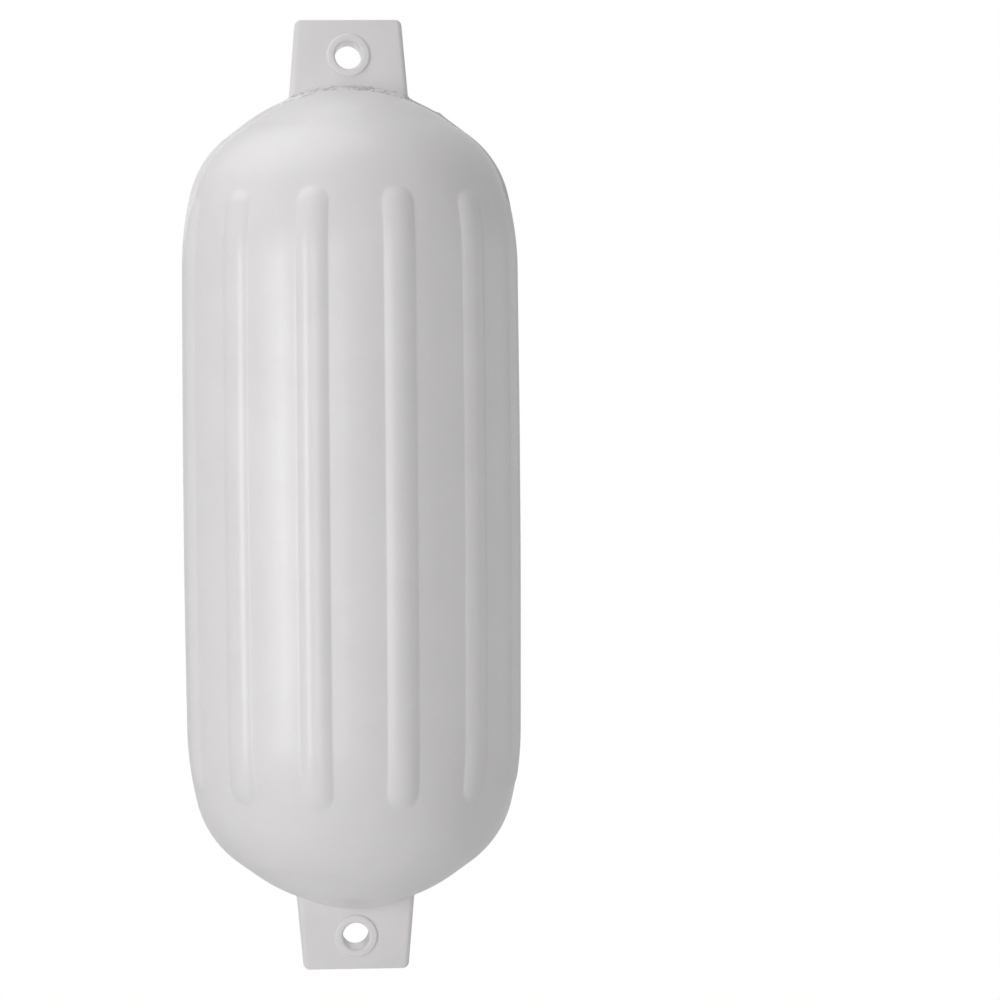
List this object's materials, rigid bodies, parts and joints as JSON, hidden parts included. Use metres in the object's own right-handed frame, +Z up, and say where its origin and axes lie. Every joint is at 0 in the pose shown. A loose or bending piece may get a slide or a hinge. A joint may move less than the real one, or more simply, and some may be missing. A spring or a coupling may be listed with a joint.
{
  "type": "boat fender",
  "caption": "Inflatable vinyl boat fender: a ribbed cylinder with domed ends, a flat eye tab at each end and a screw valve in its upper shoulder.",
  "frame": {"origin": "middle of the upper eye, in the middle of the tab's thickness, where the fender hangs from its line", "axes": "+Z up along the fender's length; -Y out of the front face of the eye tabs; the valve looks to +Y and up"},
  "size_m": [0.2712, 0.2712, 0.7608],
  "materials": {
    "white_vinyl": "satin moulded soft PVC",
    "blue_nylon": "satin moulded nylon"
  },
  "bodies": {
    "root": {"fender_shell": "white_vinyl", "valve_screw": "blue_nylon"}
  },
  "joints": []
}
